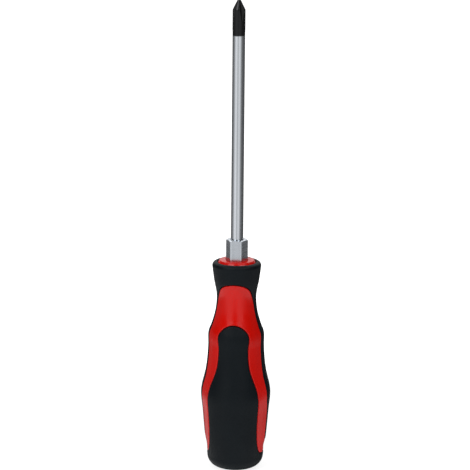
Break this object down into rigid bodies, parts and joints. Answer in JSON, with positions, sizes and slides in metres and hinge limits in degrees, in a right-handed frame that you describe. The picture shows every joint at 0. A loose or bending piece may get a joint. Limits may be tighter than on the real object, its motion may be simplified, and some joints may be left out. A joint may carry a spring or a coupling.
{
  "type": "cross-point screwdriver",
  "caption": "Cross-point screwdriver with a round steel blade, a hexagonal bolster for a spanner and a waisted red handle with black soft grips.",
  "frame": {"origin": "centre of the flat of the butt, where the upright tool rests", "axes": "+Z along the blade axis from the butt to the point; -Y faces the front panel of the rear grip; +X to its right"},
  "size_m": [0.034, 0.034, 0.229],
  "materials": {
    "blade_steel": "satin chrome-plated round bar; its point and the first 17 mm behind it are black oxide",
    "bolster_steel": "drawn hexagon bar, satin plated, chamfered at the front",
    "core_plastic": "plain moulded, out of sight",
    "red_plastic": "satin to semi-gloss injection moulding",
    "soft_black": "matt thermoplastic elastomer, fine moulded grain"
  },
  "bodies": {
    "root": {"blade": "blade_steel", "hex_bolster": "bolster_steel", "inner_core": "core_plastic", "handle_shell": "red_plastic", "front_grip": "soft_black", "rear_grip": "soft_black"}
  },
  "joints": []
}
